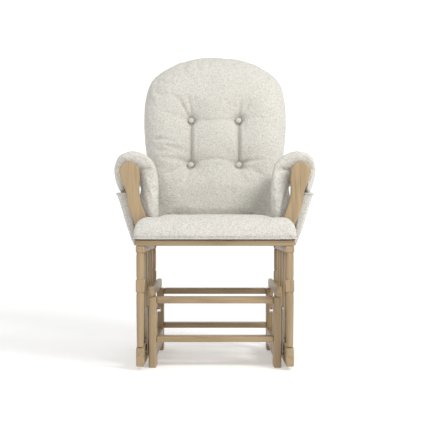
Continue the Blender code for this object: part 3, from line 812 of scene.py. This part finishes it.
def tie_hold(co):
    """Held while the cushion is filled: the flat back, and the cover under each button."""
    local = to_cushion @ co
    if local.z < 0.02:
        return 1.0
    far = min((Vector((local.x, local.y)) - place_at).length for place_at in button_at.values())
    return 1.0 if far < 0.011 else 0.0


# The folds that stay sharp: (ends across and up the cushion, depth, width at the first end).
CREASES = [
    ((-0.092, 0.425), (-0.118, 0.468), 0.0052, 0.0042), ((-0.118, 0.468), (-0.136, 0.500), 0.0030, 0.0060),
    ((-0.084, 0.432), (-0.098, 0.505), 0.0034, 0.0046), ((0.088, 0.432), (0.092, 0.500), 0.0034, 0.0046),
    ((0.094, 0.426), (0.128, 0.486), 0.0040, 0.0046), ((-0.094, 0.262), (-0.190, 0.272), 0.0040, 0.0060),
    ((-0.215, 0.345), (-0.150, 0.333), 0.0046, 0.0055), ((-0.175, 0.316), (-0.112, 0.300), 0.0042, 0.0060),
    ((-0.205, 0.300), (-0.150, 0.292), 0.0034, 0.0070), ((0.096, 0.258), (0.168, 0.262), 0.0050, 0.0052),
    ((0.092, 0.246), (0.128, 0.208), 0.0044, 0.0055), ((-0.090, 0.244), (-0.106, 0.196), 0.0034, 0.0055),
]


def creases(co, normal):
    """The sharp creases, which are pressed in after the filling so that it can't soften them."""
    local = to_cushion @ co
    front = max(0.0, min(1.0, (local.z - 0.050) / 0.025))
    if front == 0:
        return Vector((0, 0, 0))
    point = Vector((local.x, local.y))
    deep = 0.0
    for side in (-1, 1):
        far, t = near_line(point, button_at["lower", side], button_at["upper", side])
        deep += 0.0065 * bump(far, 0.0030) - 0.0018 * bump(far - 0.012, 0.007)
    low_row, high_row = button_at["lower", 1].y, button_at["upper", 1].y
    half = button_at["lower", 1].x
    across = max(-1.0, min(1.0, point.x / half))
    if abs(point.x) < half:
        deep += 0.0014 * bump(point.y - low_row - 0.017 * (1 - across**2), 0.0048)
        deep += 0.0022 * bump(point.y - high_row + 0.004 * (1 - across**2), 0.0060) * abs(across)
    for start, end, depth, width in CREASES:
        far, t = near_line(point, Vector(start), Vector(end))
        deep += depth * (1 - 0.6 * t) * bump(far, width * (1 + t))
        deep -= 0.3 * depth * bump(far - 2.2 * width, width * 1.5)
    for place_at in button_at.values():
        deep += 0.0035 * bump((point - place_at).length, 0.013)
    return upright.to_3x3() @ Vector((0, 0, -deep * front))


def smooth_rim(piece):
    """Eases the small puckers that the filling leaves round the rim."""
    group = piece.vertex_groups.new(name="rim")
    for vertex in piece.data.vertices:
        local = to_cushion @ vertex.co
        edge = min(1.0, max(0.0, (0.068 - local.z) / 0.022))
        group.add([vertex.index], edge, "REPLACE")
    ease = piece.modifiers.new("ease", "SMOOTH")
    ease.factor, ease.iterations, ease.vertex_group = 0.5, 10, "rim"
    settle(piece)


stuff(back_cushion, 3.0, 0.009, [tie_hold(v.co) for v in back_cushion.data.vertices])
smooth_rim(back_cushion)
finish_cover(back_cushion)
moved(back_cushion.data, creases)

# ---------------------------------------------------------------------------
# Buttons: each is a domed metal shell with the same boucle drawn over it, sunk in its tuft and held by
# the tie that goes through the cushion.

BUTTON_RADIUS, BUTTON_DOME, BUTTON_BACK, BUTTON_SUNK = 0.0096, 0.0042, 0.004, 0.0030
button_cloth = boucle("button_boucle", 0.7)
faces_front = back_frame.to_3x3().to_4x4() @ Matrix.Rotation(math.pi / 2, 4, "X")
sunk = back_frame.to_3x3() @ Vector((0, BUTTON_SUNK, 0))
profile = [(0, -BUTTON_BACK), (BUTTON_RADIUS * 0.80, -BUTTON_BACK), (BUTTON_RADIUS * 0.97, -0.0025)]
profile += dome(BUTTON_RADIUS, BUTTON_DOME, range(0, 85, 9)) + [(0, BUTTON_DOME)]
for row in ("lower", "upper"):
    for label, _ in SIDES:
        node = f"button_{row}_{label}"
        low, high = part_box(node)
        mesh = lathe("button", profile, 32)
        mesh.transform(Matrix.Translation((low + high) / 2 + sunk) @ faces_front)
        add_piece("covered_" + node, mesh, button_cloth, "seat", node, slot="button_boucle")

# ---------------------------------------------------------------------------
# Seat cushion: a firm box cushion with ears in front of the arm fronts, crowned on top and rounded
# over its front edge, with a corded seam along its lower edge.

low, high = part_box("seat_cushion")
NECK_HALF, EAR_DEEP = 0.174, 0.0385
wide, front, rear = high.x - 0.0005, low.y + 0.006, high.y - 0.004
neck = low.y + EAR_DEEP
seat_corners = [  # centre, radius, the angles that it turns through, steps
    ((0.016 - wide, front + 0.014), 0.015, 180, 270, 5),
    ((wide - 0.016, front + 0.014), 0.015, 270, 360, 5),
    ((wide - 0.010, neck - 0.010), 0.009, 0, 90, 4),
    ((NECK_HALF + 0.008, neck + 0.008), 0.009, 270, 180, 4),
    ((NECK_HALF - 0.020, rear - 0.020), 0.020, 0, 90, 5),
    ((0.020 - NECK_HALF, rear - 0.020), 0.020, 90, 180, 5),
    ((-NECK_HALF - 0.008, neck + 0.008), 0.009, 0, -90, 4),
    ((0.010 - wide, neck - 0.010), 0.009, 90, 180, 4),
]
seat_outline = [point for corner in seat_corners for point in arc(*corner)]
thick = high.z - low.z - 0.006
SEAT_PROFILE = [(0.008, 0.001), (0.003, 0.004), (0.001, 0.010), (0.0, 0.020), (0.0, 0.045), (0.002, 0.060)]
SEAT_PROFILE += [(0.006, thick - 0.005), (0.012, thick)]
seat_mesh = sewn_body("seat_cushion", seat_outline, SEAT_PROFILE, Matrix.Translation((0, 0, low.z)))
END_ROLL, FRONT_ROLL, EDGE_HIGH = 0.046, 0.040, 0.42


def rolled(distance, reach):
    """How high a rounded edge stands at a distance in from it, as a share of the full thickness."""
    share = min(1.0, max(0.0, distance / reach))
    return EDGE_HIGH + (1 - EDGE_HIGH) * math.sqrt(1 - (1 - share) ** 2)


def seat_crown(co, normal):
    """Rolls the ends and the front edge over, and gives the top a slight crown."""
    up = max(0.0, co.z - low.z - 0.004)
    share = rolled(wide - abs(co.x), END_ROLL) * rolled(co.y - front, FRONT_ROLL) - 1
    across, along = co.x / wide, (co.y - (front + rear) / 2) / ((rear - front) / 2)
    swell = 0.003 * max(0.0, 1 - across**2) * max(0.0, 1 - along**2) + 0.0022 * noise.noise(co * 14)
    return Vector((0, 0, up * share + swell * min(1.0, up / 0.05)))


moved(seat_mesh, seat_crown)
seat_cushion = add_piece(
    "seat_cushion_cover", seat_mesh, cushion_boucle, "seat", "seat_cushion", slot="cushion_boucle"
)
held = [1.0 if v.co.z < low.z + 0.004 else 0.0 for v in seat_cushion.data.vertices]
stuff(seat_cushion, 3.0, 0.004, held)
finish_cover(seat_cushion)


def corded_seam(name, points, radius, slot):
    """A thin cord in a sleeve of the cover's cloth, sewn along a closed line of points."""
    curve = bpy.data.curves.new(name, "CURVE")
    curve.dimensions, curve.bevel_depth, curve.bevel_resolution, curve.use_fill_caps = "3D", radius, 3, True
    spline = curve.splines.new("POLY")
    spline.points.add(len(points) - 1)
    for knot, point in zip(spline.points, points):
        knot.co = (*point, 1)
    spline.use_cyclic_u = True
    holder = bpy.data.objects.new(name, curve)
    bpy.context.scene.collection.objects.link(holder)
    bpy.context.view_layer.update()
    mesh = bpy.data.meshes.new_from_object(holder.evaluated_get(bpy.context.evaluated_depsgraph_get()))
    bpy.data.objects.remove(holder, do_unlink=True)
    mesh.shade_smooth()
    add_piece(name, mesh, cushion_boucle, "seat", slot=slot)


seam = [(x, y, low.z + 0.0055) for x, y in inset(seat_outline, -0.0005)]
corded_seam("seat_cushion_lower_cord", seam, 0.0022, "cushion_boucle")

# ---------------------------------------------------------------------------
# Arm pads: a stuffed saddle over each arm rail, thick inside and on top and thin outside, with its
# ends rounded over and sewn shut behind the arm front.

OVER = [(0.2925, 0.538), (0.2995, 0.556), (0.3085, 0.582), (0.3150, 0.618), (0.3040, 0.652)]
OVER += [(0.2800, 0.668), (0.2500, 0.670), (0.2120, 0.658), (0.1890, 0.634), (0.1815, 0.600)]
OVER += [(0.1790, 0.549), (0.1790, 0.470), (0.1800, 0.428)]
UNDER = [(0.2000, 0.426), (0.2090, 0.445), (0.2320, 0.500), (0.2345, 0.528), (0.2290, 0.553)]
UNDER += [(0.2330, 0.580), (0.2372, 0.608), (0.2750, 0.608), (0.2785, 0.578), (0.2830, 0.538)]
TOE_OUT, TOE_FROM, TOE_TO = 0.030, 0.232, 0.1785
END_DISH, DISH_LONG = 0.020, 0.045
DISH_X, DISH_WIDE, DISH_TOP, DISH_HIGH = 0.183, 0.044, 0.655, 0.040
SADDLE_X, SADDLE_TOP, HEM_TOP = (0.23, 0.284), 0.612, 0.44
pad_outline = smooth_line(OVER, 4) + UNDER
for label, side in SIDES:
    node = f"arm_pad_{label}"
    low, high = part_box(node)
    length = high.y - low.y
    ends = [(0.0115, 0.001), (0.0065, 0.003), (0.0030, 0.008), (0.0010, 0.015), (0.0, 0.026)]
    profile = ends + [(0.0, length / 2)] + [(by, length - at) for by, at in reversed(ends)]
    place_in = Matrix(((side, 0, 0, 0), (0, 0, 1, low.y), (0, 1, 0, 0), (0, 0, 0, 1)))
    mesh = sewn_body(node, pad_outline, profile, place_in, 0.004)

    def pad_shape(co, normal):
        """The inner face toes out to the rear, and the front end is dished where the wood meets it."""
        along = (co.y - low.y) / length
        toe = TOE_OUT * along * min(1.0, max(0.0, (TOE_FROM - abs(co.x)) / (TOE_FROM - TOE_TO)))
        inward = min(1.0, max(0.0, (abs(co.x) - DISH_X) / DISH_WIDE))
        downward = min(1.0, max(0.0, (DISH_TOP - co.z) / DISH_HIGH))
        dish = END_DISH * (inward * downward) ** 1.5 * max(0.0, 1 - (co.y - low.y) / DISH_LONG)
        ripple = 0.0028 * noise.noise(Vector((co.x * 20, co.y * 13, co.z * 20 + side)))
        ripple += 0.0012 * noise.noise(co * 45)
        return Vector((side * toe, dish, 0)) + normal * ripple

    moved(mesh, pad_shape)
    pad = add_piece(node + "_cover", mesh, cushion_boucle, "seat", node, slot="arm_pad_boucle")
    held = []
    for point in (v.co for v in pad.data.vertices):
        on_rail = SADDLE_X[0] < abs(point.x) < SADDLE_X[1] and point.z < SADDLE_TOP
        held.append(1.0 if on_rail or point.z < HEM_TOP else 0.0)
    stuff(pad, 3.5, 0.005, held, 16)
    finish_cover(pad)

# ---------------------------------------------------------------------------
# Side pockets: a flat bag of boucle sewn inside the flap of each arm pad, with a thick turned hem
# round its open top. It bellies out a little under its own weight.

POCKET_MOUTH, POCKET_FOOT = (0.2710, 0.3065), (0.2439, 0.2554)
CLOTH, HEM, BELLY, MOUTH_SAG = 0.0028, 0.0034, 0.0045, 0.0045
STEPS_UP, STEPS_ROUND = 26, 88
for label, side in SIDES:
    node = f"side_pocket_{label}"
    low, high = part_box(node)
    rings = []
    made = bmesh.new()
    for step in range(STEPS_UP + 1):
        t = step / STEPS_UP
        inner = POCKET_FOOT[0] + (POCKET_MOUTH[0] - POCKET_FOOT[0]) * t**2
        outer = POCKET_FOOT[1] + (POCKET_MOUTH[1] - POCKET_FOOT[1]) * t
        belly = BELLY * math.sin(math.pi * t) ** 0.8
        close = min(1.0, t * 9) ** 0.5
        ring = []
        for k in range(STEPS_ROUND):
            turn = 2 * math.pi * k / STEPS_ROUND
            out, along = math.cos(turn), math.sin(turn)
            x_unit = math.copysign(abs(out) ** 0.35, out)
            y_unit = math.copysign(abs(along) ** 0.22, along)
            x = (inner + outer) / 2 + (outer - inner) / 2 * close * x_unit
            y = (low.y + high.y) / 2 + (high.y - low.y) / 2 * y_unit
            mid = 1 - abs(y_unit) ** 3
            x += mid * belly * (1 if out > 0 else -0.2)
            sag = MOUTH_SAG * mid * t * (0.6 + 0.4 * noise.noise(Vector((y * 9, side * 2.0, t))))
            ripple = 0.0012 * noise.noise(Vector((y * 22, side * 5.0, t * 4)))
            z = low.z + 0.001 + (high.z - low.z - 0.001) * t - sag
            ring.append(made.verts.new((side * (x + ripple), y, z)))
        rings.append(ring)
    for below, above in zip(rings, rings[1:]):
        for k in range(STEPS_ROUND):
            after = (k + 1) % STEPS_ROUND
            made.faces.new([below[k], below[after], above[after], above[k]])
    made.faces.new(rings[0])
    bmesh.ops.triangulate(made, faces=[face for face in made.faces if len(face.verts) > 4])
    bmesh.ops.recalc_face_normals(made, faces=made.faces)
    mouth = [tuple(v.co) for v in rings[-1]]
    mesh = bpy.data.meshes.new(node)
    made.to_mesh(mesh)
    made.free()
    pocket = add_piece(node + "_bag", mesh, cushion_boucle, "seat", node, slot="arm_pad_boucle")
    wall = pocket.modifiers.new("cloth", "SOLIDIFY")
    wall.thickness, wall.offset = CLOTH, -1
    settle(pocket)
    finish_cover(pocket, 0.0006)
    hem = [(x, y, z - 0.002) for x, y, z in mouth]
    corded_seam(node + "_hem", hem, HEM, "arm_pad_boucle")

# ---------------------------------------------------------------------------
# Felt glides: a brown felt disc let into the foot of each of the base's four posts, so that the chair
# stands on felt and not on end grain.

felt, shader, place = finish("felt_glide")
matted = place.noise(900.0, 3.0)
wire(shader, Base_Color=matted.blend((0.16, 0.12, 0.09), (0.26, 0.21, 0.17)), Roughness=0.95)
GLIDE_RADIUS, GLIDE_HIGH, GLIDE_CHAMFER = 0.0095, 0.003, 0.001
profile = [(0, 0.0), (GLIDE_RADIUS - GLIDE_CHAMFER, 0.0), (GLIDE_RADIUS, GLIDE_CHAMFER)]
profile += [(GLIDE_RADIUS, GLIDE_HIGH), (0, GLIDE_HIGH)]
for label, _ in SIDES:
    for end in ENDS:
        low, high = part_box(f"base_{end}_post_{label}")
        centre = (low + high) / 2
        glide = lathe("glide", profile, 32)
        glide.transform(Matrix.Translation((centre.x, centre.y, 0.0)))
        add_piece(f"felt_glide_{end}_{label}", glide, felt, "base", slot="base_oak")
